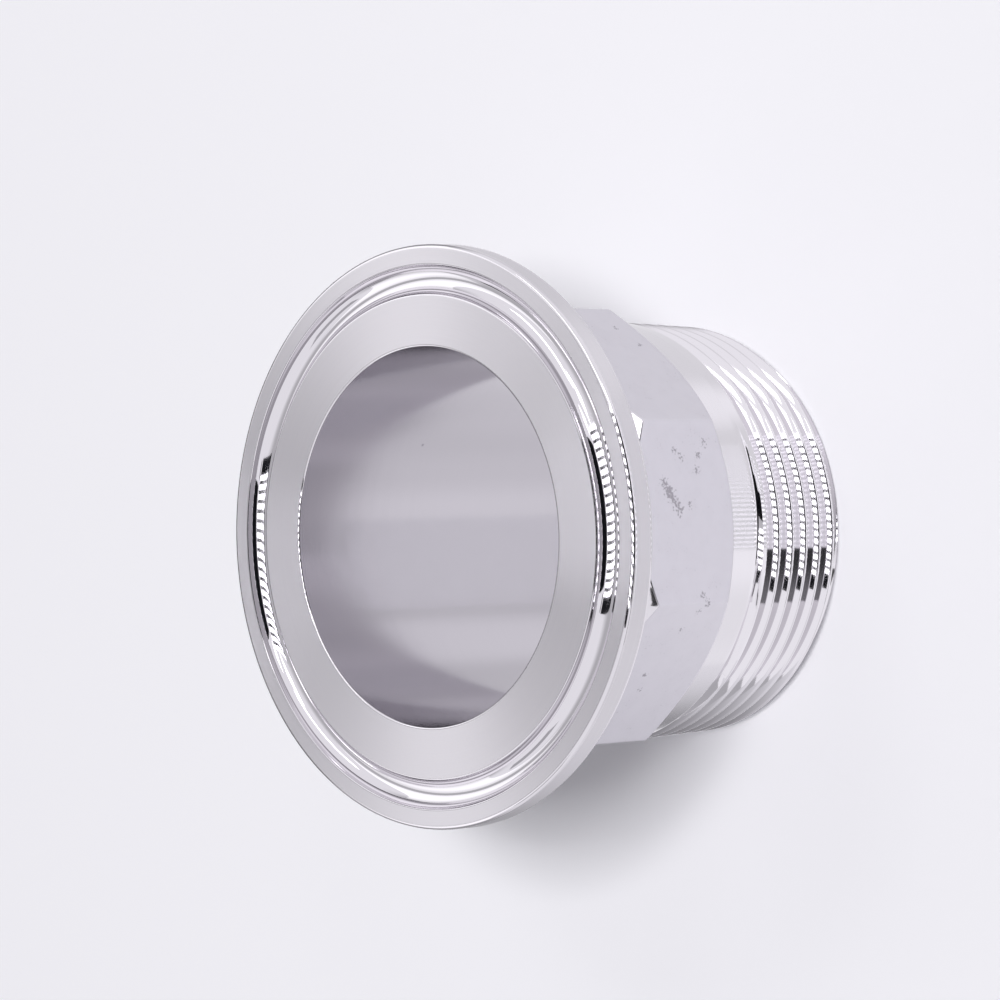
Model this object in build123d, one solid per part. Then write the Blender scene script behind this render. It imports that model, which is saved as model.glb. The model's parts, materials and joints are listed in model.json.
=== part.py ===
from build123d import *
import math
import os

# Sanitary clamp threaded adapter, turned in one piece from stainless steel.
# Millimetres, +Z along the bore. The origin is the centre of the thread's end face,
# on which the adapter stands; the clamp flange is at the top.

# Tapered pipe thread, right-handed, 55 degrees, 11 turns to the inch, 1 in 16 on diameter
thread_gauge_diameter = 47.8
thread_gauge_length = 12.7
thread_taper = 1 / 16
thread_pitch = 25.4 / 11
thread_flank_angle = 27.5
full_thread_length = 14.6
runout_length = 1.2
runout_azimuth = -56.0
runout_sweep = 100.0
end_chamfer = 1.4

# Bore, by the wall that it leaves at the thread's gauge diameter
gauge_wall = 3.1
bore_edge_chamfer = 0.2

# Plain shank above the thread
shank_length = 3.4

# Octagonal wrench body: its flats stand proud of the shank, and a cone is turned on both ends
flat_count = 8
flat_rise = 0.12
corner_length = 10.7
corner_radius = 0.5
wrench_cone_angle = 45.0

# Neck between the wrench body and the flange
neck_wall = 2.2
neck_length = 1.76
neck_fillet = 1.0

# Clamp flange, from the bore outwards: flat land, gasket groove, outer land
inner_land_width = 5.75
groove_width = 3.2
groove_depth = 1.5
groove_lip_chamfer = 0.12
outer_land_width = 2.25
rim_width = 2.85
rim_front_chamfer = 0.25
rim_back_radius = 0.4
flange_back_angle = 20.0

# Radii worked out from the sizes above
gauge_r = thread_gauge_diameter / 2
radial_taper = thread_taper / 2
thread_end_r = gauge_r - thread_gauge_length * radial_taper
taper_length = full_thread_length + runout_length
shank_r = thread_end_r + taper_length * radial_taper
bore_r = gauge_r - gauge_wall
neck_r = bore_r + neck_wall
flat_r = shank_r + flat_rise
corner_r = flat_r / math.cos(math.pi / flat_count)
groove_in_r = bore_r + inner_land_width
groove_out_r = groove_in_r + groove_width
flange_r = groove_out_r + outer_land_width

# Heights worked out from the sizes above
cone_slope = math.tan(math.radians(wrench_cone_angle))
shank_top = taper_length + shank_length
corner_low = shank_top + (corner_r - shank_r) * cone_slope
corner_top = corner_low + corner_length
neck_low = corner_top + (corner_r - neck_r) * cone_slope
neck_top = neck_low + neck_length
rim_low = neck_top + (flange_r - neck_r) * math.tan(math.radians(flange_back_angle))
face_top = rim_low + rim_width

# Thread form: a sharp V of this height, cut off by a sixth at the crest and at the root
sharp_height = thread_pitch / 2 / math.tan(math.radians(thread_flank_angle))
truncation = sharp_height / 6
thread_depth = sharp_height - 2 * truncation


def turned_blank():
    """The whole turning about the bore, with the wrench body still round and no thread."""
    with BuildPart() as blank:
        with BuildSketch(Plane.XZ) as section:
            with BuildLine():
                Polyline(
                    (groove_in_r, face_top),
                    (bore_r, face_top),
                    (bore_r, 0),
                    (thread_end_r - end_chamfer, 0),
                    (thread_end_r + end_chamfer * radial_taper, end_chamfer),
                    (shank_r, taper_length),
                    (shank_r, shank_top),
                    (corner_r, corner_low),
                    (corner_r, corner_top),
                    (neck_r, neck_low),
                    (neck_r, neck_top),
                    (flange_r, rim_low),
                    (flange_r, face_top),
                    (groove_out_r, face_top),
                )
                ThreePointArc(
                    (groove_out_r, face_top),
                    ((groove_in_r + groove_out_r) / 2, face_top - groove_depth),
                    (groove_in_r, face_top),
                )
            make_face()
            corner_cuts = [
                (chamfer, bore_r, face_top, bore_edge_chamfer),
                (chamfer, bore_r, 0, bore_edge_chamfer),
                (chamfer, groove_in_r, face_top, groove_lip_chamfer),
                (chamfer, groove_out_r, face_top, groove_lip_chamfer),
                (chamfer, flange_r, face_top, rim_front_chamfer),
                (fillet, flange_r, rim_low, rim_back_radius),
                (fillet, neck_r, neck_top, neck_fillet),
            ]
            for ease, radius, height, size in corner_cuts:
                corner = section.vertices().sort_by_distance((radius, height))[0]
                ease(corner, size)
        revolve(axis=Axis.Z)
    return blank.part


def wrench_waste():
    """The ring that is cut off the round wrench body to leave its flats."""
    cone_run = (corner_r - flat_r) * cone_slope
    with BuildPart() as waste:
        with BuildSketch(Plane.XY.offset(corner_low - cone_run)):
            Circle(flange_r)
            with BuildSketch(mode=Mode.SUBTRACT) as octagon:
                half_flat = 180 / flat_count
                RegularPolygon(flat_r, flat_count, major_radius=False, rotation=half_flat)
                fillet(octagon.vertices(), corner_radius)
        extrude(amount=corner_length + 2 * cone_run)
    return waste.part


def thread_waste(start_r, start_z, turns, rise):
    """A length of the thread's groove, whose radius grows by rise from start to end.

    It starts at azimuth 0. Its flanks run past the crest, and stay clear of the next turn.
    """
    overshoot = truncation / 2
    root_half = truncation * math.tan(math.radians(thread_flank_angle))
    mouth_half = (truncation + thread_depth + overshoot) * math.tan(math.radians(thread_flank_angle))
    cone_angle = math.degrees(math.atan(rise / (turns * thread_pitch)))
    path = Helix(thread_pitch, turns * thread_pitch, start_r, (0, 0, start_z), (0, 0, 1), cone_angle)
    groove_plane = Plane(origin=(start_r, 0, start_z), x_dir=(1, 0, 0), z_dir=(0, -1, 0))
    outline = Polyline(
        (-thread_depth, -root_half),
        (overshoot, -mouth_half),
        (overshoot, mouth_half),
        (-thread_depth, root_half),
        close=True,
    )
    return sweep(groove_plane * make_face(outline), path=path, is_frenet=True)


def threaded_bar():
    """Bar with the tapered thread cut at its lower end, wide enough above to hold the rest.

    It reaches past the end face, so that the groove runs out of it there at full depth.
    """
    turns = math.ceil(full_thread_length / thread_pitch) + 0.25
    start_z = full_thread_length - turns * thread_pitch
    start_r = thread_end_r + start_z * radial_taper
    last_r = thread_end_r + full_thread_length * radial_taper
    bar_low = start_z - thread_pitch
    outline = Polyline(
        (0, bar_low),
        (thread_end_r + bar_low * radial_taper, bar_low),
        (shank_r, taper_length),
        (shank_r, shank_top),
        (2 * flange_r, shank_top),
        (2 * flange_r, 2 * face_top),
        (0, 2 * face_top),
        close=True,
    )
    bar = revolve(Plane.XZ * make_face(outline), Axis.Z)
    groove = thread_waste(start_r, start_z, turns, last_r - start_r)
    runout = thread_waste(last_r, full_thread_length, runout_sweep / 360, thread_depth + truncation)
    bar -= Rot(0, 0, runout_azimuth - turns * 360) * groove
    return bar - Rot(0, 0, runout_azimuth) * runout


os.makedirs("parts", exist_ok=True)
adapter = (threaded_bar() & turned_blank()) - wrench_waste()
export_step(adapter, "parts/clamp_thread_adapter.step")
print(f"overall {face_top:.3f}, flange {2 * flange_r:.2f}, bore {2 * bore_r:.2f}, flats {2 * flat_r:.2f}")
print(f"adapter: {adapter.volume:.0f} mm3, {len(adapter.faces())} faces, valid {adapter.is_valid}")
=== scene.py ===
# %% [markdown]
# # A turned and threaded stainless steel fitting
# This adapter joins a clamped sanitary pipe to a threaded one. On the real thing a lathe turns
# the flange, its gasket groove, the neck, the shank and the bore, a threading tool cuts a
# tapered pipe thread, and eight blasted wrench flats are left between them. We start from the
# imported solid, which fixes the size and the place of everything, and measure it first.

# %% Load the solid and measure it
import json
import math

import bmesh
import bpy
from mathutils import Matrix, Vector

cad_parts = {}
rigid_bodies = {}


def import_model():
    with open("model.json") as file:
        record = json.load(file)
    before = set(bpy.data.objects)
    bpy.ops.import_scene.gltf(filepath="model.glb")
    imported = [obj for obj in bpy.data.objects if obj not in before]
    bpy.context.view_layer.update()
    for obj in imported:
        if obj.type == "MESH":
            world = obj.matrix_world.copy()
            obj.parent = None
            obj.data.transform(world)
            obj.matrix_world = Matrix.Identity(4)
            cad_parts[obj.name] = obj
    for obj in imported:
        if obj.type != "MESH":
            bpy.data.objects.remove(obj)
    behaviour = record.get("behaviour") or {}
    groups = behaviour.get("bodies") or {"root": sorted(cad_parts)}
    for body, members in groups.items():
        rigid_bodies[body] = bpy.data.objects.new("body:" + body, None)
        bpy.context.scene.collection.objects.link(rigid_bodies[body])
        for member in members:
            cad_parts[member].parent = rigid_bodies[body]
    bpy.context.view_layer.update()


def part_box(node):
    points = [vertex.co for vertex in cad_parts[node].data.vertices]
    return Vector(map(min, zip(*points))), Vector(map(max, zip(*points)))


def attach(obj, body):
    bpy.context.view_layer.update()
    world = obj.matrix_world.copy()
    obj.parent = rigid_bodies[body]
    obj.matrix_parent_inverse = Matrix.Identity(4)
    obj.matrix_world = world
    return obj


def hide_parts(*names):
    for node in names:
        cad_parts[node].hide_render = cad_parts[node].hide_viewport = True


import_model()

MM = 0.001
NODE = "clamp_thread_adapter"
cad_low, cad_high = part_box(NODE)
print("flange diameter", round((cad_high.x - cad_low.x) / MM, 2), "mm")
print("height", round(cad_high.z / MM, 2), "mm")

# %% [markdown]
# ## The sizes on the drawing
# These are the fitting's own sizes in metres, the same that its solid was turned to. Radii are
# counted from the bore's axis, and heights from the thread's end face, which stands on the
# floor. Working out the dependent ones here keeps every later step in the maker's terms.

# %% Sizes of the thread
THREAD_PITCH = 25.4 / 11 * MM
FLANK_ANGLE = math.radians(27.5)
RADIAL_TAPER = 1 / 32
FULL_THREAD = 14.6 * MM
TAPER_LENGTH = 15.8 * MM
RUNOUT_AZIMUTH = -56.0
RUNOUT_SWEEP = 100.0
RUNOUT_RISE = 1.25
END_CHAMFER = 1.4 * MM
THREAD_END_R = 23.9 * MM - 12.7 * MM * RADIAL_TAPER
SHANK_R = THREAD_END_R + TAPER_LENGTH * RADIAL_TAPER
SHARP_HEIGHT = THREAD_PITCH / 2 / math.tan(FLANK_ANGLE)
THREAD_DEPTH = SHARP_HEIGHT * 2 / 3
ROUND_TO_PITCH = 0.1373
THREAD_ROUND = ROUND_TO_PITCH * THREAD_PITCH
print("thread depth", round(THREAD_DEPTH / MM, 3), "mm")
print("crest radius", round(THREAD_ROUND / MM, 3), "mm")

# %% Sizes of the bore, the wrench body, the neck and the flange
BORE_R = 20.8 * MM
BORE_EDGE = 0.2 * MM
SHANK_TOP = TAPER_LENGTH + 3.4 * MM
FLAT_COUNT = 8
HALF_SECTOR = 180 / FLAT_COUNT
FLAT_R = SHANK_R + 0.12 * MM
CORNER_ROUND = 0.5 * MM
CORNER_R = FLAT_R / math.cos(math.radians(HALF_SECTOR))
CORNER_LOW = SHANK_TOP + CORNER_R - SHANK_R
CORNER_TOP = CORNER_LOW + 10.7 * MM
NECK_R = 23.0 * MM
NECK_LOW = CORNER_TOP + CORNER_R - NECK_R
NECK_TOP = NECK_LOW + 1.76 * MM
NECK_FILLET = 1.0 * MM
BACK_ANGLE = math.radians(20)
FLANGE_R = 32.0 * MM
RIM_LOW = NECK_TOP + (FLANGE_R - NECK_R) * math.tan(BACK_ANGLE)
RIM_BACK_ROUND = 0.4 * MM
RIM_FRONT_ROUND = 0.40 * MM
FACE_TOP = RIM_LOW + 2.85 * MM
GROOVE_IN_R = 26.55 * MM
GROOVE_OUT_R = 29.75 * MM
GROOVE_DEPTH = 1.5 * MM
GROOVE_LIP = 0.12 * MM
print("drawing height", round(FACE_TOP / MM, 3), "mm, solid", round(cad_high.z / MM, 3), "mm")

# %% [markdown]
# ## Maths with wires
# Both the shape and the finishes need long sums of nodes. A sum that is drawn node by node is
# hard to read, so a small class wraps one output socket and turns Python's own operators into
# Math nodes: (1 - mask) * depth then reads as it would on paper.


# %% A wire that can be added and multiplied
class Wire:
    """One output socket of a node tree, with Python's operators adding Math nodes to it."""

    def __init__(self, bench, socket):
        self.bench = bench
        self.socket = socket

    def maths(self, operation, *others):
        return self.bench.add("ShaderNodeMath", {"operation": operation}, {
            place: value for place, value in enumerate((self,) + others)
        })

    def __add__(self, other):
        return self.maths("ADD", other)

    __radd__ = __add__

    def __sub__(self, other):
        return self.maths("SUBTRACT", other)

    def __rsub__(self, other):
        return self.maths("MULTIPLY_ADD", -1.0, other)

    def __mul__(self, other):
        return self.maths("MULTIPLY", other)

    __rmul__ = __mul__

    def __truediv__(self, other):
        return self.maths("DIVIDE", other)

    def __lt__(self, other):
        return self.maths("LESS_THAN", other)

    def __gt__(self, other):
        return self.maths("GREATER_THAN", other)

    def __abs__(self):
        return self.maths("ABSOLUTE")

    def at_least(self, other):
        return self.maths("MAXIMUM", other)

    def at_most(self, other):
        return self.maths("MINIMUM", other)

    def root(self):
        return self.maths("SQRT")

    def sine(self):
        return self.maths("SINE")

    def cosine(self):
        return self.maths("COSINE")

    def nearest(self):
        return self.maths("ROUND")

    def whole(self):
        return self.maths("FLOOR")

    def pick(self, low_value, high_value):
        """low_value where this wire is 0 and high_value where it is 1."""
        return low_value + self * (high_value - low_value)


class Bench:
    """A node tree to work on. add() makes any node from its type, settings and socket values."""

    def __init__(self, tree):
        self.tree = tree

    def node(self, kind, settings=None, values=None):
        made = self.tree.nodes.new(kind)
        for name, setting in (settings or {}).items():
            setattr(made, name, setting)
        for place, value in (values or {}).items():
            entry = made.inputs[place]
            if isinstance(value, Wire):
                self.tree.links.new(value.socket, entry)
            else:
                entry.default_value = value
        return made

    def add(self, kind, settings=None, values=None, output=0):
        return Wire(self, self.node(kind, settings, values).outputs[output])

    def join(self, wire, node, place):
        self.tree.links.new(wire.socket, node.inputs[place])


print("wire operators ready")

# %% [markdown]
# ## The section, as rows of a lathe
# Turning the fitting means drawing one closed section and carrying it round the axis. Each
# corner of that section is a row. Most rows are plain rings, but two kinds are not: the rows of
# the thread climb with its helix, and the rows where a turned cone meets the wrench flats
# follow that curved edge. Writing the kind of each row beside its radius and height lets one
# rule make the whole body as a single closed skin, with every edge exactly where it is on the
# real one. Edges get small rounds, because a real edge always catches a line of light.

# %% Kinds of row, finishes, and the rows from the bore's foot to the thread
RING, HELIX, LOW_EDGE, TOP_EDGE = range(4)
BORED, FACED, SMOOTH, CUT, TURNED, BLASTED = range(6)
rows = []


def row(reach, height, finish, kind=RING, inset=0.0):
    """Adds a row. finish is that of the strip from this row to the next one."""
    rows.append((reach, height, finish, kind, inset))


def arc(centre_r, centre_z, radius, start, end, steps, finish):
    """Adds the rows of an arc of the section. Angles are in degrees, 0 is outwards, 90 is up."""
    for step in range(steps + 1):
        angle = math.radians(start + (end - start) * step / steps)
        row(centre_r + radius * math.cos(angle), centre_z + radius * math.sin(angle), finish)


FINE = 0.06 * MM
row(BORE_R, BORE_EDGE + FINE, SMOOTH)
arc(BORE_R + BORE_EDGE, BORE_EDGE, BORE_EDGE, 180, 270, 5, SMOOTH)
row(BORE_R + BORE_EDGE + FINE, 0.0, FACED)
print("bore's foot:", len(rows), "rows")

# %% [markdown]
# ### Rows of the thread
# A pipe thread is a groove wound round a cone. Measured along the axis from the middle of the
# groove, its side has three parts: a rounded root, a straight flank and a rounded crest. The
# rows are set where those parts begin and end, so that few rows give a true thread form. They
# start over half a pitch below the end face and stop as far above the taper, because a row
# climbs by one pitch in a turn, and what would lie outside is pressed flat on the end.

# %% Rows of the thread
ROOT_END = THREAD_ROUND * math.cos(FLANK_ANGLE)
CREST_START = THREAD_PITCH / 2 - ROOT_END
ON_ROOT = [0.0, 0.10 * MM, 0.20 * MM, ROOT_END]
ON_CREST = [CREST_START, 0.955 * MM, 1.055 * MM]
half_places = ON_ROOT + [THREAD_PITCH / 4] + ON_CREST
other_half = [THREAD_PITCH - place for place in reversed(half_places[1:])]
places = half_places + [THREAD_PITCH / 2] + other_half
past_ends = THREAD_PITCH / 2 + 0.3 * MM
groove_at_zero = FULL_THREAD - THREAD_PITCH * RUNOUT_AZIMUTH / 360
first_turn = -math.ceil((groove_at_zero + THREAD_PITCH) / THREAD_PITCH)
for turn in range(first_turn, 3):
    for place in places:
        height = groove_at_zero + turn * THREAD_PITCH + place
        if -past_ends < height < TAPER_LENGTH + past_ends:
            row(0.0, height, CUT, HELIX)
thread_rows = sum(1 for entry in rows if entry[3] == HELIX)
print("thread:", thread_rows, "rows,", len(places), "to a turn")

# %% [markdown]
# ### Rows of the shank, the wrench body and the neck
# Each edge between a turned cone and the blasted flats is a narrow strip between two rows. One
# more row stands close beside it on the flats, and at the upper edge another one on the cone,
# because smooth shading averages the faces that meet in a point, and without them a wide strip
# would lean towards the narrow one.

# %% Rows from the shank to the neck
EDGE = 0.06 * MM
row(SHANK_R, TAPER_LENGTH + FINE, TURNED)
for share in (0.25, 0.5, 0.75):
    row(SHANK_R, TAPER_LENGTH + (SHANK_TOP - TAPER_LENGTH) * share, TURNED)
row(SHANK_R, SHANK_TOP - FINE, TURNED)
row(SHANK_R, SHANK_TOP, SMOOTH)
row(0.0, 0.0, BLASTED, LOW_EDGE, -EDGE)
row(0.0, 0.0, BLASTED, LOW_EDGE, EDGE)
row(0.0, 0.0, BLASTED, LOW_EDGE, 4 * EDGE)
row(0.0, 0.0, BLASTED, TOP_EDGE, 4 * EDGE)
row(0.0, 0.0, BLASTED, TOP_EDGE, EDGE)
row(0.0, 0.0, SMOOTH, TOP_EDGE, -EDGE)
row(0.0, 0.0, SMOOTH, TOP_EDGE, -3 * EDGE)
row(NECK_R + FINE, NECK_LOW - FINE, SMOOTH)
row(NECK_R, NECK_LOW + FINE, SMOOTH)
neck_tangent = NECK_FILLET * math.tan((math.pi / 2 - BACK_ANGLE) / 2)
arc(NECK_R + NECK_FILLET, NECK_TOP - neck_tangent, NECK_FILLET, 180, 110, 8, SMOOTH)
print("wrench body from", round(CORNER_LOW / MM, 2), "to", round(CORNER_TOP / MM, 2), "mm up")

# %% [markdown]
# ### Rows of the flange
# The back of the flange is a 20 degree cone, on which the clamp pulls. Its face carries two
# flat lands with the round gasket groove between them. The groove is a shallow arc whose lips
# are barely broken, and the rows are close there, because a polished groove mirrors its
# surroundings and would show every flat of a coarse mesh.

# %% Rows of the flange, back to the bore
rim_tangent = RIM_BACK_ROUND * math.tan((math.pi / 2 - BACK_ANGLE) / 2)
rim_centre_r = FLANGE_R - RIM_BACK_ROUND
slope_r, slope_z = math.cos(BACK_ANGLE), math.sin(BACK_ANGLE)
row(NECK_R + (neck_tangent + FINE) * slope_r, NECK_TOP + (neck_tangent + FINE) * slope_z, FACED)
row(FLANGE_R - (rim_tangent + FINE) * slope_r, RIM_LOW - (rim_tangent + FINE) * slope_z, SMOOTH)
arc(rim_centre_r, RIM_LOW + rim_tangent, RIM_BACK_ROUND, -70, 0, 7, SMOOTH)
row(FLANGE_R, RIM_LOW + rim_tangent + FINE, FACED)
row(FLANGE_R, FACE_TOP - RIM_FRONT_ROUND - FINE, SMOOTH)
arc(FLANGE_R - RIM_FRONT_ROUND, FACE_TOP - RIM_FRONT_ROUND, RIM_FRONT_ROUND, 0, 90, 7, SMOOTH)
row(FLANGE_R - RIM_FRONT_ROUND - FINE, FACE_TOP, FACED)
row(GROOVE_OUT_R + GROOVE_LIP + FINE, FACE_TOP, SMOOTH)

groove_half = (GROOVE_OUT_R - GROOVE_IN_R) / 2
groove_round = (groove_half ** 2 + GROOVE_DEPTH ** 2) / (2 * GROOVE_DEPTH)
groove_mid_r = (GROOVE_OUT_R + GROOVE_IN_R) / 2
groove_mid_z = FACE_TOP - GROOVE_DEPTH + groove_round
lip_angle = math.degrees(math.asin((groove_round - GROOVE_DEPTH + GROOVE_LIP) / groove_round))
row(GROOVE_OUT_R + GROOVE_LIP, FACE_TOP, SMOOTH)
row(GROOVE_OUT_R + GROOVE_LIP * 0.45, FACE_TOP - GROOVE_LIP * 0.12, SMOOTH)
row(GROOVE_OUT_R + GROOVE_LIP * 0.1, FACE_TOP - GROOVE_LIP * 0.5, SMOOTH)
arc(groove_mid_r, groove_mid_z, groove_round, -lip_angle, lip_angle - 180, 28, SMOOTH)
row(GROOVE_IN_R - GROOVE_LIP * 0.1, FACE_TOP - GROOVE_LIP * 0.5, SMOOTH)
row(GROOVE_IN_R - GROOVE_LIP * 0.45, FACE_TOP - GROOVE_LIP * 0.12, SMOOTH)
row(GROOVE_IN_R - GROOVE_LIP, FACE_TOP, SMOOTH)
row(GROOVE_IN_R - GROOVE_LIP - FINE, FACE_TOP, FACED)
row(BORE_R + BORE_EDGE + FINE, FACE_TOP, SMOOTH)
arc(BORE_R + BORE_EDGE, FACE_TOP - BORE_EDGE, BORE_EDGE, 90, 180, 5, SMOOTH)
row(BORE_R, FACE_TOP - BORE_EDGE - FINE, BORED)
row(*rows[0][:2], BORED)
print("section:", len(rows), "rows in all")

# %% [markdown]
# ## Turning the section with Geometry Nodes
# Each point of a flat grid belongs to one row and one column. The tree looks up the row, works
# out the azimuth of the column, and moves the point to its place. The 48 columns of each flat
# are closest at the corners of the wrench body, whose radius is only half a millimetre. The
# groove of the thread is not a row's business but a place's: how deep it is follows from the
# height above the nearest groove, and where the tool leaves the work, at the end of the last
# turn, it lifts out over 100 degrees, so the groove grows shallow and narrow until it is gone.

# %% The inputs of the tree
SECTOR_COLUMNS = 48
ROUND_COLUMNS = 3
TREE_SIZES = {
    "Pitch": THREAD_PITCH,
    "Thread depth": THREAD_DEPTH,
    "Crest round": THREAD_ROUND,
    "Full thread": FULL_THREAD,
    "Taper length": TAPER_LENGTH,
    "End radius": THREAD_END_R,
    "End chamfer": END_CHAMFER,
    "Run-out azimuth": RUNOUT_AZIMUTH,
    "Run-out sweep": RUNOUT_SWEEP,
    "Flat radius": FLAT_R,
    "Corner round": CORNER_ROUND,
    "Corner radius": CORNER_R,
    "Corner low": CORNER_LOW,
    "Corner top": CORNER_TOP,
}
FINISH_NAMES = [
    "Bored finish", "Faced finish", "Smooth finish", "Cut finish", "Turned finish", "Blasted finish",
]

turning = bpy.data.node_groups.new("turn_and_thread", "GeometryNodeTree")
face = turning.interface
face.new_socket("Rows", in_out="INPUT", socket_type="NodeSocketGeometry")
face.new_socket("Row count", in_out="INPUT", socket_type="NodeSocketInt")
for name in TREE_SIZES:
    face.new_socket(name, in_out="INPUT", socket_type="NodeSocketFloat")
for name in FINISH_NAMES:
    face.new_socket(name, in_out="INPUT", socket_type="NodeSocketMaterial")
face.new_socket("Body", in_out="OUTPUT", socket_type="NodeSocketGeometry")
lathe = Bench(turning)
group_in = lathe.node("NodeGroupInput")
given = {socket.name: Wire(lathe, socket) for socket in group_in.outputs if socket.name}
print("turning tree:", len(given), "named inputs")

# %% The grid, its rows and its columns
columns = FLAT_COUNT * SECTOR_COLUMNS
row_count = given["Row count"]
grid = lathe.add("GeometryNodeMeshGrid", None, {
    "Size X": float(columns), "Size Y": row_count - 1,
    "Vertices X": columns + 1, "Vertices Y": row_count,
})
place = lathe.node("ShaderNodeSeparateXYZ", None, {0: lathe.add("GeometryNodeInputPosition")})
column = (Wire(lathe, place.outputs[0]) + columns / 2).nearest()
row_place = Wire(lathe, place.outputs[1]) + (row_count - 1) / 2


def of_row(name, index):
    """The value that the section gives to the row with this number."""
    value = lathe.add("GeometryNodeInputNamedAttribute", {"data_type": "FLOAT"}, {"Name": name})
    settings = {"data_type": "FLOAT", "domain": "POINT", "clamp": True}
    return lathe.add("GeometryNodeSampleIndex", settings, {
        "Geometry": given["Rows"], "Value": value, "Index": index,
    })


here = row_place.nearest()
reach, height = of_row("reach", here), of_row("height", here)
kind, inset = of_row("kind", here), of_row("inset", here)
sector = (column / SECTOR_COLUMNS).nearest()
in_sector = column - sector * SECTOR_COLUMNS
half_sector = math.radians(HALF_SECTOR)
corner_centre = (FLAT_R - CORNER_ROUND) / math.cos(half_sector)
round_angle = math.degrees(math.atan2(
    CORNER_ROUND * math.sin(half_sector),
    corner_centre + CORNER_ROUND * math.cos(half_sector),
))
flat_columns = SECTOR_COLUMNS // 2 - ROUND_COLUMNS
flat_step = (HALF_SECTOR - round_angle) / flat_columns
round_step = round_angle / ROUND_COLUMNS
extra_step = round_step - flat_step
off_flat = abs(in_sector) * flat_step + (abs(in_sector) - flat_columns).at_least(0) * extra_step
azimuth = sector * (2 * HALF_SECTOR) - 180 + off_flat * in_sector.maths("SIGN")
DEGREE = math.pi / 180
print("columns:", round(flat_step, 3), "degrees apart on a flat,", round(round_step, 3), "at a corner")

# %% The thread's surface
pitch, depth_full, crest_round = given["Pitch"], given["Thread depth"], given["Crest round"]
climb = pitch * azimuth / 360
thread_z = (height + climb).at_least(0.0).at_most(given["Taper length"])
groove_climb = pitch * (azimuth - given["Run-out azimuth"]) / 360
from_groove = (thread_z - given["Full thread"] - groove_climb) / pitch
nearest_turn = from_groove.nearest()
aside = abs(from_groove - nearest_turn) * pitch
root_arc = depth_full - crest_round + (crest_round * crest_round - aside * aside).at_least(0.0).root()
flank = depth_full / 2 - (aside - pitch / 4) / math.tan(FLANK_ANGLE)
to_crest = pitch / 2 - aside
crest_arc = crest_round - (crest_round * crest_round - to_crest * to_crest).at_least(0.0).root()
in_root = aside < crest_round * math.cos(FLANK_ANGLE)
on_crest = to_crest < crest_round * math.cos(FLANK_ANGLE)
groove_depth = on_crest.pick(in_root.pick(flank, root_arc), crest_arc)
past_end = (azimuth - given["Run-out azimuth"] + nearest_turn * 360) / given["Run-out sweep"]
lifted = past_end.at_least(0.0) * depth_full * RUNOUT_RISE
cone_r = given["End radius"] + thread_z * RADIAL_TAPER
chamfer_r = given["End radius"] - given["End chamfer"] + thread_z * (1 + RADIAL_TAPER)
thread_r = (cone_r - (groove_depth - lifted).at_least(0.0)).at_most(chamfer_r)
print("thread surface: a groove at", round(THREAD_PITCH / MM, 3), "mm pitch")

# %% [markdown]
# The turned cones at both ends of the wrench body cut its corners off in curved edges. A cone
# of 45 degrees loses as much height as it gains radius, so the edge stands lower by just as
# much as the octagon reaches out less, and a row can follow it with one subtraction.

# %% The edges of the wrench body
flat_line = given["Flat radius"] / (off_flat * DEGREE).cosine()
to_corner = (HALF_SECTOR - off_flat) * DEGREE
round_centre = (given["Flat radius"] - given["Corner round"]) / math.cos(half_sector)
sideways = round_centre * to_corner.sine()
corner_line = round_centre * to_corner.cosine() + (
    given["Corner round"] * given["Corner round"] - sideways * sideways
).at_least(0.0).root()
rounded = off_flat > HALF_SECTOR - round_angle
octagon_r = rounded.pick(flat_line, corner_line)
on_flat = inset.at_least(0.0)
on_cone = (inset * -1).at_least(0.0) * math.sqrt(0.5)
lost = given["Corner radius"] - octagon_r
low_edge_z = given["Corner low"] - lost + on_flat - on_cone
top_edge_z = given["Corner top"] + lost - on_flat + on_cone
edge_r = octagon_r - on_cone
print("flats", round(2 * FLAT_R / MM, 2), "mm across, corners rounded to", CORNER_ROUND / MM, "mm")

# %% Choose the rule of each row, close the skin and give it its finishes
is_thread = (kind > HELIX - 0.5) * (kind < HELIX + 0.5)
is_edge = kind > LOW_EDGE - 0.5
is_top = kind > TOP_EDGE - 0.5
body_r = is_edge.pick(is_thread.pick(reach, thread_r), edge_r)
body_z = is_edge.pick(is_thread.pick(height, thread_z), is_top.pick(low_edge_z, top_edge_z))
target = lathe.add("ShaderNodeCombineXYZ", None, {
    0: body_r * (azimuth * DEGREE).cosine(), 1: body_r * (azimuth * DEGREE).sine(), 2: body_z,
})
finish_of_strip = of_row("finish", row_place.whole())
marked = lathe.add("GeometryNodeStoreNamedAttribute", {"data_type": "FLOAT", "domain": "FACE"}, {
    "Geometry": grid, "Name": "finish", "Value": finish_of_strip,
})
shaped = lathe.add("GeometryNodeSetPosition", None, {"Geometry": marked, "Position": target})
skin = lathe.add("GeometryNodeMergeByDistance", None, {"Geometry": shaped, "Distance": 1e-6})
skin = lathe.add("GeometryNodeRealizeInstances", None, {"Geometry": skin})
finish_here = lathe.add("GeometryNodeInputNamedAttribute", {"data_type": "FLOAT"}, {"Name": "finish"})
for number, name in enumerate(FINISH_NAMES):
    chosen = (finish_here > number - 0.5) * (finish_here < number + 0.5)
    skin = lathe.add("GeometryNodeSetMaterial", None, {
        "Geometry": skin, "Selection": chosen, "Material": given[name],
    })
group_out = lathe.node("NodeGroupOutput")
lathe.join(skin, group_out, 0)
print("turning tree:", len(turning.nodes), "nodes")

# %% [markdown]
# ## Finishes
# Every surface is the same steel, but the tools left different marks. A lathe leaves fine
# rings, which spread a reflection across them and keep it sharp along them: that is anisotropy,
# and with no tangent given it circles the axis, as the rings do. The wrench flats were
# blasted, so they are matt and even, with small pits of the casting left in them. The maths
# below works on Object coordinates, so the marks stay on the metal from every side.

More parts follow.
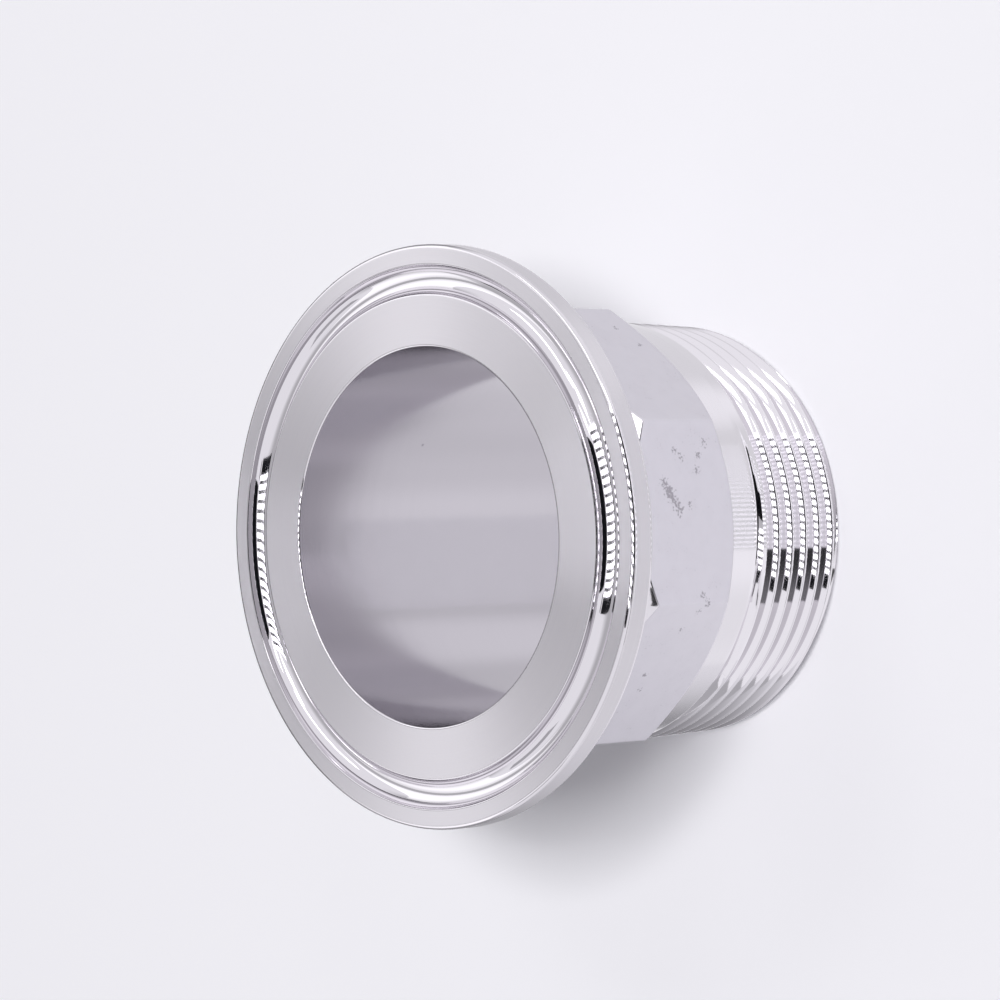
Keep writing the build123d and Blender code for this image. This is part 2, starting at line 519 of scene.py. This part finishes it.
# %% Where a point of the surface lies, and a steel to start from
STEEL = (0.74, 0.72, 0.75, 1.0)
# BORE_STEEL is darker than STEEL: painted shade inside the bore.
BORE_STEEL = (0.56, 0.54, 0.575, 1.0)
CUT_STEEL = (0.80, 0.78, 0.81, 1.0)
BLASTED_STEEL = (0.745, 0.725, 0.775, 1.0)
DARK_STEEL = (0.42, 0.40, 0.44, 1.0)
QUARTER_TURN = 0.25


def steel(name, roughness, anisotropic=0.0):
    """A steel with constant values. Returns its material, its bench, its shader and its places."""
    made = bpy.data.materials.new(name)
    made.use_nodes = True
    bench = Bench(made.node_tree)
    shader = made.node_tree.nodes["Principled BSDF"]
    shader.inputs["Base Color"].default_value = STEEL
    shader.inputs["Metallic"].default_value = 1.0
    shader.inputs["Roughness"].default_value = roughness
    shader.inputs["Anisotropic"].default_value = anisotropic
    shader.inputs["Anisotropic Rotation"].default_value = QUARTER_TURN
    spot = bench.add("ShaderNodeTexCoord", output="Object")
    split = bench.node("ShaderNodeSeparateXYZ", None, {0: spot})
    x, y, z = (Wire(bench, socket) for socket in split.outputs)
    return made, bench, shader, (spot, x, y, z)


def noise(bench, vector, scale, detail=2.0, rough=0.5):
    """A noise value around 0.5 at each point of vector, with scale cells to the metre."""
    return bench.add("ShaderNodeTexNoise", {"noise_dimensions": "3D"}, {
        "Vector": vector, "Scale": scale, "Detail": detail, "Roughness": rough,
    })


def apart(bench, spot, place):
    """How far each point is from this place, in metres."""
    return bench.add("ShaderNodeVectorMath", {"operation": "DISTANCE"}, {0: spot, 1: place}, output=1)


def rings(bench, x, y, z, feed):
    """Noise that runs in rings round the axis, one each feed of the tool, along r and z."""
    radius = (x * x + y * y).root()
    around = y.maths("ARCTAN2", x)
    vector = bench.add("ShaderNodeCombineXYZ", None, {0: radius / feed, 1: z / feed, 2: around * 0.6})
    return noise(bench, vector, 1.0, 2.0, 0.6)


def bump(bench, shader, height_wire, depth):
    """Raises the surface by height_wire times depth, in metres."""
    relief = bench.add("ShaderNodeBump", None, {
        "Strength": 1.0, "Distance": depth, "Height": height_wire,
    })
    bench.join(relief, shader, "Normal")


def stain(bench, shader, amount, light=STEEL, dark=DARK_STEEL):
    """Mixes the steel's colour towards dark by amount."""
    mixed = bench.node("ShaderNodeMix", {"data_type": "RGBA"}, {0: amount, 6: light, 7: dark})
    bench.join(Wire(bench, mixed.outputs[2]), shader, "Base Color")


print("steel", STEEL[:3], "and its dirt", DARK_STEEL[:3])

# %% [markdown]
# The rings of the faced lands are the finest marks of all, about a tenth of a millimetre
# apart. Their bump is only a fraction of a micrometre, enough to break the reflection, and the
# roughness moves a little with them, as it does where a worn insert drags.

# %% The five turned finishes
def turned_steel(name, roughness, anisotropic, feed, depth, grey, colour=STEEL, speck=None):
    """Steel with rings round the axis: feed apart, depth deep, and grey mixed into the valleys."""
    made, bench, shader, (spot, x, y, z) = steel(name, roughness, anisotropic)
    marks = rings(bench, x, y, z, feed)
    bench.join(roughness * (marks * 0.5 + 0.75), shader, "Roughness")
    dirt = ((marks - 0.35) * grey).at_least(0.0)
    if speck:
        dirt = dirt + ((SPECK_R - apart(bench, spot, speck)) / (0.3 * SPECK_R)).at_least(0.0)
    stain(bench, shader, dirt.at_most(1.0), colour)
    bump(bench, shader, marks, depth)
    return made


SPECK_R = 0.22 * MM
bore_speck = (BORE_R * math.cos(math.radians(144.9)), BORE_R * math.sin(math.radians(144.9)), 26.2 * MM)
finishes = [
    turned_steel("bored_steel", 0.16, 0.6, 0.12 * MM, 0.0004 * MM, 0.12, BORE_STEEL, bore_speck),
    turned_steel("faced_steel", 0.33, 0.9, 0.10 * MM, 0.0006 * MM, 0.12),
    turned_steel("smooth_steel", 0.045, 0.2, 0.10 * MM, 0.0001 * MM, 0.05),
    turned_steel("thread_cut_steel", 0.055, 0.4, 0.06 * MM, 0.0002 * MM, 0.08, CUT_STEEL),
    turned_steel("turned_steel", 0.12, 0.9, 0.10 * MM, 0.0006 * MM, 0.10, CUT_STEEL),
]

# %% [markdown]
# The blasted flats show pits of the casting, in a few smears and single ones, at the places
# where the photograph has them. Each smear is the nearness to a place on a flat. Adding noise to
# that nearness before it is cut off breaks the round spot into ragged pits.

# %% The blasted wrench flats
PITS = {
    0: [
        (3.3, 29.7, 1.0), (2.4, 29.2, 1.1), (1.8, 28.7, 1.2), (0.9, 28.1, 1.2),
        (0.1, 27.5, 1.0), (0.8, 26.0, 0.7), (6.7, 27.7, 0.8), (5.9, 26.7, 0.8),
        (7.4, 23.1, 0.9), (6.2, 24.0, 0.8), (4.5, 24.4, 0.8), (-9.0, 25.1, 0.7),
    ],
    -45: [(10.1, 24.4, 0.9), (8.9, 25.3, 0.7), (6.4, 26.5, 0.7), (0.0, 27.9, 0.6), (-2.2, 27.3, 0.6)],
    45: [(6.5, 23.2, 0.6), (3.4, 21.7, 0.6)],
    135: [(-4.0, 26.0, 0.9), (5.0, 24.0, 0.7)],
    -135: [(2.0, 29.0, 0.9), (1.0, 28.3, 0.8)],
}
blasted, bench, shader, (spot, x, y, z) = steel("blasted_steel", 0.42)
grain = noise(bench, spot, 9000.0, 3.0, 0.7)
cloud = noise(bench, spot, 420.0, 3.0, 0.6)
ragged = noise(bench, spot, 3200.0, 3.0, 0.65)
nearness = 0.0
for azimuth_of_flat, pits_of_flat in PITS.items():
    turn = math.radians(azimuth_of_flat)
    for across, height_of_pit, pit_r in pits_of_flat:
        pit_place = (
            FLAT_R * math.cos(turn) - across * MM * math.sin(turn),
            FLAT_R * math.sin(turn) + across * MM * math.cos(turn),
            height_of_pit * MM,
        )
        nearness = (1.0 - apart(bench, spot, pit_place) / (pit_r * MM)).at_least(0.0) + nearness


def within(wire, most=1.0):
    """A wire kept between 0 and most."""
    return wire.at_least(0.0).at_most(most)


in_smear = within((nearness * 0.9 + (ragged - 0.5) * 4.0 - 0.60) * 3.0)
pits = in_smear * (nearness * 8).at_most(1.0)
fine_pits = within((ragged - 0.62) * 12, 0.6) * within((cloud - 0.50) * 8)
dirt = within(pits + fine_pits * 0.55 + (cloud - 0.4) * 0.20)
bench.join(0.36 + grain * 0.12, shader, "Roughness")
stain(bench, shader, dirt, BLASTED_STEEL)
bump(bench, shader, grain * 0.4 + cloud * 0.8 - pits - fine_pits, 0.008 * MM)
finishes.append(blasted)
print("finishes:", [finish.name for finish in finishes])

# %% [markdown]
# ## Making the body
# The rows go in as the loose points of a mesh, each with its values as attributes. The
# modifier's inputs are set by their identifiers before the object is looked at for the first
# time. The result becomes a plain mesh that stands for the solid, with smooth shading that
# stops at edges sharper than 32 degrees. Its first material slot is the empty one that the grid
# had before it was given its finishes, so it is taken off.

# %% Turn the body
SHARP_ANGLE = math.radians(32)
row_mesh = bpy.data.meshes.new("section_rows")
row_mesh.from_pydata([(0.0, 0.0, 0.0)] * len(rows), [], [])
for column_number, name in enumerate(("reach", "height", "finish", "kind", "inset")):
    values = row_mesh.attributes.new(name, "FLOAT", "POINT")
    values.data.foreach_set("value", [float(entry[column_number]) for entry in rows])
blank = bpy.data.objects.new("section_rows", row_mesh)
bpy.context.scene.collection.objects.link(blank)
modifier = blank.modifiers.new("turn_and_thread", "NODES")
modifier.node_group = turning
answers = dict(TREE_SIZES, **{"Row count": len(rows)}, **dict(zip(FINISH_NAMES, finishes)))
for item in face.items_tree:
    if item.in_out == "INPUT" and item.name in answers:
        modifier[item.identifier] = answers[item.name]
depsgraph = bpy.context.evaluated_depsgraph_get()
body_mesh = bpy.data.meshes.new_from_object(blank.evaluated_get(depsgraph))
bpy.data.objects.remove(blank)

body_mesh.name = "adapter_body"
body_mesh.materials.pop(index=0)
body_mesh.polygons.foreach_set("use_smooth", [True] * len(body_mesh.polygons))
body_mesh.set_sharp_from_angle(angle=SHARP_ANGLE)
adapter_body = bpy.data.objects.new("adapter_body", body_mesh)
bpy.context.scene.collection.objects.link(adapter_body)
triangles = sum(len(polygon.vertices) - 2 for polygon in body_mesh.polygons)
print("body:", len(body_mesh.vertices), "points,", triangles, "triangles")

# %% Check that the skin is closed and faces outwards
skin_check = bmesh.new()
skin_check.from_mesh(body_mesh)
open_edges = sum(1 for edge in skin_check.edges if len(edge.link_faces) != 2)
volume = skin_check.calc_volume(signed=True)
if volume < 0:
    body_mesh.flip_normals()
skin_check.free()
print("open edges", open_edges, "volume", round(volume * 1e9), "cubic mm")

# %% Give the body to the frame
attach(adapter_body, "root")
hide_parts(NODE)
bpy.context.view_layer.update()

# %% [markdown]
# ## Floor
# The floor is pale paper. It is left out of the metal's reflections, where the studio around
# it stands for it in the same colour, so that the metal doesn't mirror its own dark contact
# shadow from a floor on which the real one lay differently.

# %% Floor
FLOOR_HALF = 6.0
PAPER = (0.90, 0.893, 0.932, 1.0)


def flat_pieces(name, outlines, material):
    """Flat stage pieces in one mesh, each given by its four corners."""
    mesh = bpy.data.meshes.new(name)
    mesh.from_pydata([tuple(corner) for outline in outlines for corner in outline], [], [
        tuple(range(4 * number, 4 * number + 4)) for number in range(len(outlines))
    ])
    mesh.materials.append(material)
    made = bpy.data.objects.new(name, mesh)
    bpy.context.scene.collection.objects.link(made)
    return made


def plain(name, colour):
    """A matt material without a highlight."""
    made = bpy.data.materials.new(name)
    made.use_nodes = True
    shader = made.node_tree.nodes["Principled BSDF"]
    shader.inputs["Base Color"].default_value = colour
    shader.inputs["Roughness"].default_value = 0.9
    shader.inputs["Specular IOR Level"].default_value = 0.0
    return made


floor = flat_pieces("floor", [[
    (-FLOOR_HALF, -FLOOR_HALF, 0), (FLOOR_HALF, -FLOOR_HALF, 0),
    (FLOOR_HALF, FLOOR_HALF, 0), (-FLOOR_HALF, FLOOR_HALF, 0),
]], plain("white_paper", PAPER))
floor.visible_glossy = False
print("floor:", 2 * FLOOR_HALF, "m wide")

# %% [markdown]
# ## The studio that the metal mirrors
# Polished metal looks like what surrounds it, so this is where its look is made. The world is a
# pale studio, which only reflections see, with a tone that goes by direction. Straight over
# the flange it is greyer than at the sides. Below it stands for the table, a little lighter on
# one side and darker far towards -Y, which is painted shade of the table in the fitting's
# shadow. Low down behind the fitting it is dusk, which keeps the lands of the flange grey.
# Everything matt is lit by an even fill instead, so the shadow on the paper stays soft.

# %% Pale studio
FILL = 0.27
STUDIO_TINT = (0.97, 0.96, 1.0, 1.0)
world = bpy.data.worlds.new("studio")
bpy.context.scene.world = world
world.use_nodes = True
bench = Bench(world.node_tree)
in_metal = bench.add("ShaderNodeLightPath", output="Is Glossy Ray")
towards = bench.node("ShaderNodeSeparateXYZ", None, {0: bench.add("ShaderNodeTexCoord")})
east, north, up = (Wire(bench, socket) for socket in towards.outputs)


def ramp(value, start, end):
    """0 up to start, 1 from end, and smooth in between."""
    return value.bench.add("ShaderNodeMapRange", {"interpolation_type": "SMOOTHSTEP"}, {
        "Value": value, "From Min": start, "From Max": end,
    })


above = 0.565 + 0.455 * ramp(abs(north), 0.04, 0.38)
bright = 0.20 * ramp(north, 0.50, 0.60) * ramp(east, 0.00, 0.20)
# dim is painted shade standing for the table in the fitting's shadow: it darkens the table towards -Y
# where it lies towards +X, and further everywhere far towards -Y.
dim = 0.12 * ramp(north, -0.30, -0.50) * ramp(east, 0.10, 0.40) + 0.14 * ramp(north, -0.55, -0.75)
below = 1.08 - 0.24 * ramp(north, -0.21, -0.13) + bright - dim
dusk = ramp(abs(up), 0.55, 0.20) * ramp(east, -0.35, -0.60)
tone = ramp(up, -0.15, 0.15).pick(below, above) * (1.0 - 0.65 * dusk)
background = world.node_tree.nodes["Background"]
background.inputs["Color"].default_value = STUDIO_TINT
bench.join(in_metal.pick(FILL, tone), background, "Strength")
print("studio:", len(world.node_tree.nodes), "nodes")

# %% [markdown]
# ### Lamps
# Each soft lamp is there for one bright mark on the metal: a long one for the streaks on the
# thread, a smaller one for the streak in the groove, one for the white corner of the wrench
# body, and two behind for the bright fans at the top and the bottom of the flange's face. The
# two lamps of the table are far away and small. They throw the shadow, and the metal doesn't
# show them.

# %% Soft lamps
CENTRE = Vector((0.0, 0.0, FACE_TOP / 2))
LAMP_DISTANCE = 1.0
TABLE_LAMP_DISTANCE = 3.0


def soft_lamp(name, direction, distance, width, height, brightness):
    """A flat lamp in this direction from the adapter, turned to it; 1 is as bright as paper."""
    data = bpy.data.lights.new(name, "AREA")
    data.shape = "RECTANGLE"
    data.size = width
    data.size_y = height
    data.energy = brightness * math.pi * width * height
    made = bpy.data.objects.new(name, data)
    aim = Vector(direction).normalized()
    across = (Vector((1, 0, 0)) - aim * aim.x).normalized()
    turn = Matrix((across, aim.cross(across), aim)).transposed()
    made.matrix_world = Matrix.Translation(CENTRE + aim * distance) @ turn.to_4x4()
    bpy.context.scene.collection.objects.link(made)
    return made


soft_lamp("soft_lamp", (-0.08, 0.63, 0.76), LAMP_DISTANCE, 0.60, 0.09, 2.4)
soft_lamp("streak_lamp", (0.10, 0.48, 0.87), LAMP_DISTANCE, 0.26, 0.15, 2.4)
soft_lamp("corner_lamp", (0.55, 0.565, 0.615), LAMP_DISTANCE, 0.15, 0.15, 2.6)
soft_lamp("back_lamp", (-0.72, 0.46, 0.52), LAMP_DISTANCE, 0.38, 0.80, 0.50)
soft_lamp("low_back_lamp", (-0.72, -0.44, 0.54), LAMP_DISTANCE, 0.38, 0.80, 0.42)
for name, direction in (("table_lamp", (0.50, 0.13, 0.85)), ("low_table_lamp", (0.56, -0.005, 0.83))):
    table_lamp = soft_lamp(name, direction, TABLE_LAMP_DISTANCE, 0.45, 0.45, 51.0)
    table_lamp.visible_glossy = False
print("lamps:", sorted(lamp.name for lamp in bpy.data.lights))

# %% [markdown]
# ### Panels of small lamps, and cards
# The photograph's metal shows rows of small bright beads with black beside them: a panel of
# small lamps stood over the fitting, and dark cloth around the camera. The gasket groove is
# a curved mirror. Its normal leans by a tilt and an azimuth, and the sight of the camera,
# mirrored in that normal, says which place on a level plane it shows there. Strips laid out
# that way, an even angle apart, show in the groove as even beads. Two upright panels do the
# same for the thread and the shank. All of it shows in reflections only, so it blocks no view.

# %% The tools for panels and cards
TO_CAMERA = Vector((0.718, -0.064, 0.693))
GLOW_TINT = (0.96, 0.95, 1.0, 1.0)
FAN_PARTS = 6
BEAD_GAP = 0.005
BEADS_IN_ROW = 26
PANEL_HALF = 0.34


def only_in_reflections(thing):
    thing.visible_camera = False
    thing.visible_diffuse = False
    thing.visible_shadow = False
    thing.visible_transmission = False


def glowing(name, strength):
    """A surface that shows this strength of light by itself, where 1 is white."""
    made = plain(name, (0.0, 0.0, 0.0, 1.0))
    shader = made.node_tree.nodes["Principled BSDF"]
    shader.inputs["Emission Color"].default_value = GLOW_TINT
    shader.inputs["Emission Strength"].default_value = strength
    return made


def fading(name, axis, start, end, low, high):
    """A surface whose light goes from low to high between these places along an axis."""
    made = glowing(name, high)
    bench = Bench(made.node_tree)
    spot = bench.add("ShaderNodeTexCoord", output="Object")
    place = bench.node("ShaderNodeSeparateXYZ", None, {0: spot})
    strength = low + (high - low) * ramp(Wire(bench, place.outputs[axis]), start, end)
    bench.join(strength, made.node_tree.nodes["Principled BSDF"], "Emission Strength")
    return made


def seen_in_groove(tilt, azimuth, level):
    """Where the sight of the camera goes, by a mirror with this tilt and azimuth, up to this level."""
    normal = Vector((
        math.sin(tilt) * math.cos(azimuth), math.sin(tilt) * math.sin(azimuth), math.cos(tilt)
    ))
    sight = -TO_CAMERA.reflect(normal)
    return sight * (level / sight.z)


def fan(level, tilts, spans):
    """Flat strips on a level plane, which the groove shows between these tilts and azimuths."""
    tilt_step = (tilts[1] - tilts[0]) / FAN_PARTS
    ends = [math.radians(tilts[0] + tilt_step * part) for part in range(FAN_PARTS + 1)]
    for start, end in spans:
        for near, far in zip(ends, ends[1:]):
            yield [
                seen_in_groove(tilt, math.radians(azimuth), level)
                for tilt, azimuth in ((near, start), (near, end), (far, end), (far, start))
            ]


def card(name, place, half_x, half_y, material):
    """A flat card round the middle of place, seen in reflections only."""
    corners = [
        place @ Vector((a * half_x, b * half_y, 0.0))
        for a, b in ((-1, -1), (-1, 1), (1, 1), (1, -1))
    ]
    only_in_reflections(flat_pieces(name, [corners], material))


def facing(place):
    """The place of a card that stands upright there, with its face along X."""
    return Matrix.Translation(place) @ Matrix.Rotation(math.radians(90), 4, "Y")


def raster(place, rows, beads, gap, size):
    """Lamps in rows on a flat panel. gap and size are (across the rows, along a row)."""
    for bead_row in range(rows):
        for bead in range(beads):
            x = (bead_row - (rows - 1) / 2) * gap[0]
            y = (bead - (beads - 1) / 2) * gap[1]
            yield [
                place @ Vector((x + a * size[0], y + b * size[1], 0.0))
                for a, b in ((-0.5, -0.5), (-0.5, 0.5), (0.5, 0.5), (0.5, -0.5))
            ]


def bead_panel(name, place, bead_rows, gap, size, bead_light, half_x, back_light):
    """Rows of small lamps just in front of a glowing card."""
    panel = facing(place)
    in_front = panel @ Matrix.Translation((0, 0, -BEAD_GAP))
    beads = list(raster(in_front, bead_rows, BEADS_IN_ROW, gap, size))
    light = glowing(f"{name}_lamps_light", bead_light)
    only_in_reflections(flat_pieces(f"{name}_lamps", beads, light))
    card(f"{name}_panel_back", panel, half_x, PANEL_HALF, glowing(f"{name}_panel_grey", back_light))


print("tools for panels and cards ready")

# %% The panel over the flange
PANEL_HEIGHT = 0.90
BACK_HEIGHT = 1.01 * PANEL_HEIGHT
RIBS_TO_A_SIDE = 9
RIB_STEP = 2.1
black_cloth = plain("black_cloth", (0.015, 0.015, 0.018, 1.0))
ribs = [
    ((rib - 0.25) * RIB_STEP, (rib + 0.25) * RIB_STEP)
    for rib in range(-RIBS_TO_A_SIDE, RIBS_TO_A_SIDE + 1)
]
small_lamps = list(fan(PANEL_HEIGHT, (14, 42), ribs))
only_in_reflections(flat_pieces("small_lamps", small_lamps, glowing("small_lamps_light", 4.6)))
panel_back = list(fan(BACK_HEIGHT, (12, 43), [(-23.5, 19.4)]))
only_in_reflections(flat_pieces("panel_back", panel_back, black_cloth))
print("panel over the flange:", len(ribs), "beads in the groove")

# %% The upright panels beside the thread
bead_panel("low", (0.60, 0.17, -0.55), 7, (0.070, 0.026), (0.048, 0.012), 1.65, 0.24, 0.66)
bead_panel("side", (0.60, 0.17, -0.19), 3, (0.076, 0.026), (0.050, 0.012), 1.7, 0.12, 0.92)
print("upright panels:", BEADS_IN_ROW, "beads in a row")

# %% Cloths and cards
CARDS = {
    "camera_cloth": (facing((0.60, 0.04, 0.365)), 0.265, 0.37, black_cloth),
    "back_cloth": (facing((-0.60, 0.02, 0.27)), 0.08, 0.18, black_cloth),
    "side_cloth": (facing((0.60, -0.44, 0.668)), 0.05, 0.065, glowing("side_cloth_light", 0.06)),
    # A grey glowing card, painted shade: it stands for the table in shadow beside the thread, which the
    # lower thread mirrors.
    "table_shadow_card": (
        Matrix.Translation((-0.46, -0.92, 0.90)), 0.24, 0.22, glowing("table_shadow_card_light", 0.50),
    ),
    "low_cloth": (
        facing((0.60, -0.36, -0.155)), 0.07, 0.19,
        fading("low_cloth_light", "Y", -0.22, -0.50, 0.05, 0.22),
    ),
    "table_shade": (
        Matrix.Translation((-0.009, -0.046, 0.003)) @ Matrix.Rotation(math.radians(90), 4, "X"),
        0.029, 0.030, fading("table_shade_light", "X", -0.018, 0.021, 0.30, 0.90),
    ),
}
for name, (place, half_x, half_y, material) in CARDS.items():
    card(name, place, half_x, half_y, material)
print("cards:", list(CARDS))

# %% [markdown]
# ## Camera
# The camera looks along the bore from above the flange and is rolled on its side, so the
# fitting, which stands on its thread, has the same outline as in the photograph, where it lies.
# A long lens keeps the flange's ellipse nearly free of perspective.

# %% Camera
CAMERA_PLACE = Vector((319.870, -24.469, 340.018)) * MM
CAMERA_FORWARD = Vector((-0.7177575, 0.06363005, -0.69337969))
CAMERA_RIGHT = Vector((0.68858738, -0.08287558, -0.72040202))
CAMERA_UP = Vector((0.10330346, 0.99452645, -0.01566972))
camera_data = bpy.data.cameras.new("camera")
camera_data.lens = 144.0
camera_data.sensor_width = 36.0
camera_data.clip_start = 0.02
camera_data.clip_end = 50.0
camera = bpy.data.objects.new("camera", camera_data)
turned = Matrix((CAMERA_RIGHT, CAMERA_UP, -CAMERA_FORWARD)).transposed()
camera.matrix_world = Matrix.Translation(CAMERA_PLACE) @ turned.to_4x4()
bpy.context.scene.collection.objects.link(camera)
bpy.context.scene.camera = camera
bpy.context.scene.view_settings.view_transform = "Standard"
print("camera", round((CAMERA_PLACE - CENTRE).length / MM), "mm from the middle of the adapter")
